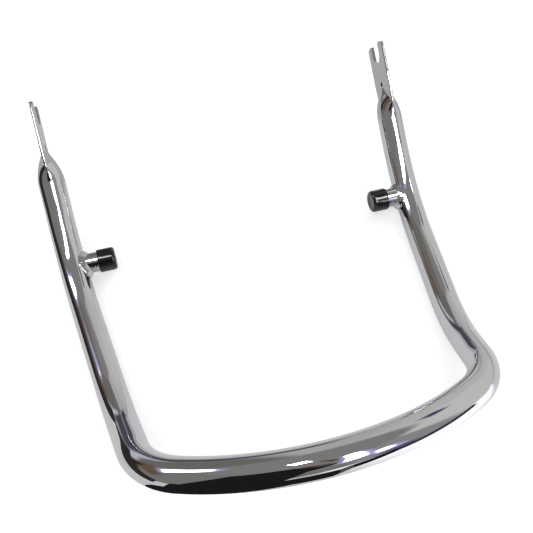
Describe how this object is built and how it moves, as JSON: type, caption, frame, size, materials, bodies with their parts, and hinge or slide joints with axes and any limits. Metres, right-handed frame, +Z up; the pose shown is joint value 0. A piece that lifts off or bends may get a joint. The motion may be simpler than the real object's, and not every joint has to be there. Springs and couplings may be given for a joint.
{
  "type": "seat grab rail",
  "caption": "U-shaped grab rail bent from one chromed tube, with flattened slotted ends for damper bolts and a capped threaded boss on the inner side of each leg.",
  "frame": {"origin": "halfway between the seats of the two fork slots, on the line of the damper bolts", "axes": "+X along the line of the damper bolts to the rider's right, +Y forward and level along the middle runs of the legs, +Z up, as the rail rests on the level runs of its legs"},
  "size_m": [0.2798, 0.31, 0.0948],
  "materials": {
    "rail_chrome": "mirror chrome plating",
    "boss_chrome": "chrome plating over a turned surface",
    "weld_chrome": "chrome plating over a rippled weld bead",
    "cap_black": "semi-gloss black vinyl"
  },
  "bodies": {
    "root": {"rail_tube": "rail_chrome", "boss_left": "boss_chrome", "boss_right": "boss_chrome", "weld_left": "weld_chrome", "weld_right": "weld_chrome", "cap_left": "cap_black", "cap_right": "cap_black"}
  },
  "joints": []
}
